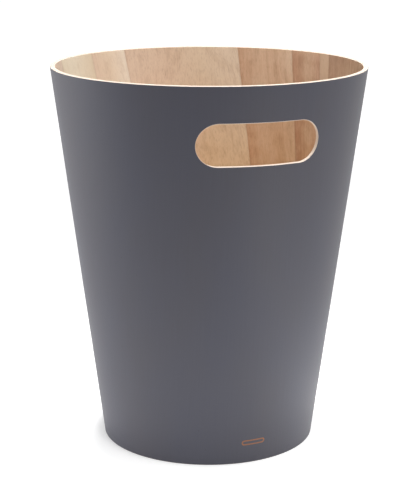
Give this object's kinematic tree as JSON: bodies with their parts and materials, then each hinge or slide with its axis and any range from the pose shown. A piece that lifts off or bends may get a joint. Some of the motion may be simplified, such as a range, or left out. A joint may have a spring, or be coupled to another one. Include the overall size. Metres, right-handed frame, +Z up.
{
  "type": "wastebasket",
  "caption": "Tapered round wastebasket of laminated bentwood, painted outside and bare wood inside, with an obround handle hole below the rim and a let-in bottom panel.",
  "frame": {"origin": "on the floor at the centre of the base", "axes": "+Z up along the basket's axis; the handle hole faces -Y; +X to the right when looking at the handle hole"},
  "size_m": [0.2298, 0.2298, 0.279],
  "materials": {
    "painted_veneer": "matte slate-grey paint on fine-grained veneer",
    "core_veneer": "bare pale veneer, seen on the sanded edges",
    "pale_veneer": "bare pale yellow veneer, matte",
    "tan_veneer": "bare tan veneer, matte",
    "brown_veneer": "bare light-brown veneer, matte",
    "bottom_veneer": "bare veneer, matte"
  },
  "bodies": {
    "root": {"outer_face_ply": "painted_veneer", "core_ply": "core_veneer", "inner_leaf_01": "tan_veneer", "inner_leaf_02": "tan_veneer", "inner_leaf_03": "brown_veneer", "inner_leaf_04": "pale_veneer", "inner_leaf_05": "brown_veneer", "inner_leaf_06": "tan_veneer", "inner_leaf_07": "tan_veneer", "inner_leaf_08": "pale_veneer", "inner_leaf_09": "pale_veneer", "inner_leaf_10": "tan_veneer", "inner_leaf_11": "brown_veneer", "bottom_lower_face": "bottom_veneer", "bottom_core": "core_veneer", "bottom_upper_face": "bottom_veneer"}
  },
  "joints": []
}
